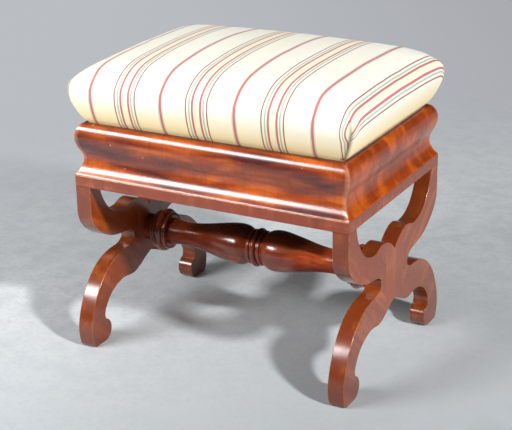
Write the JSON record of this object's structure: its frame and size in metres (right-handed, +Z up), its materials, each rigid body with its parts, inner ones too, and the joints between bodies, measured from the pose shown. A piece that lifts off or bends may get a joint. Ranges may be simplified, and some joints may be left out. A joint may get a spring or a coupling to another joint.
{
  "type": "footstool",
  "caption": "Mahogany footstool on a curule base with scrolled feet, a turned stretcher, an ogee-moulded frame and a striped slip seat that lifts out.",
  "frame": {"origin": "on the floor, midway between the four feet", "axes": "+Z up, +X along the stretcher towards the right-hand end, the front faces -Y"},
  "size_m": [0.5014, 0.377, 0.494],
  "materials": {
    "mahogany_veneer": "figured mahogany veneer, French polished",
    "mahogany_solid": "solid mahogany, French polished",
    "pine": "bare pine, aged",
    "dowel_birch": "bare birch dowel",
    "screw_steel": "dulled steel",
    "tack_iron": "blued iron",
    "ticking": "woven cotton ticking with red and grey-green stripes",
    "jute_webbing": "woven jute webbing",
    "hessian": "open plain-weave hessian",
    "horsehair": "curled hair stuffing"
  },
  "bodies": {
    "frame": {"arm_dowels": "dowel_birch", "block_dowels": "dowel_birch", "corner_block_front_left": "pine", "corner_block_front_right": "pine", "corner_block_rear_left": "pine", "corner_block_rear_right": "pine", "corner_block_screws": "screw_steel", "fascia_front": "mahogany_veneer", "fascia_left": "mahogany_veneer", "fascia_rear": "mahogany_veneer", "fascia_right": "mahogany_veneer", "left_centre_block": "mahogany_solid", "left_front_board": "mahogany_solid", "left_rear_board": "mahogany_solid", "moulding_front": "mahogany_veneer", "moulding_left": "mahogany_veneer", "moulding_rear": "mahogany_veneer", "moulding_right": "mahogany_veneer", "rail_screws": "screw_steel", "right_centre_block": "mahogany_solid", "right_front_board": "mahogany_solid", "right_rear_board": "mahogany_solid", "stretcher": "mahogany_solid"},
    "seat": {"cover_tacks": "tack_iron", "hessian": "hessian", "lap_dowels": "dowel_birch", "seat_rail_front": "pine", "seat_rail_left": "pine", "seat_rail_rear": "pine", "seat_rail_right": "pine", "striped_cover": "ticking", "stuffing": "horsehair", "webbing_cross_1": "jute_webbing", "webbing_cross_2": "jute_webbing", "webbing_cross_3": "jute_webbing", "webbing_cross_4": "jute_webbing", "webbing_long_1": "jute_webbing", "webbing_long_2": "jute_webbing", "webbing_long_3": "jute_webbing", "webbing_tacks": "tack_iron"}
  },
  "joints": [
    {"name": "seat_lift", "type": "slide", "parent": "frame", "child": "seat", "axis": [0, 0, 1], "range_m": [0, 0.06]}
  ]
}
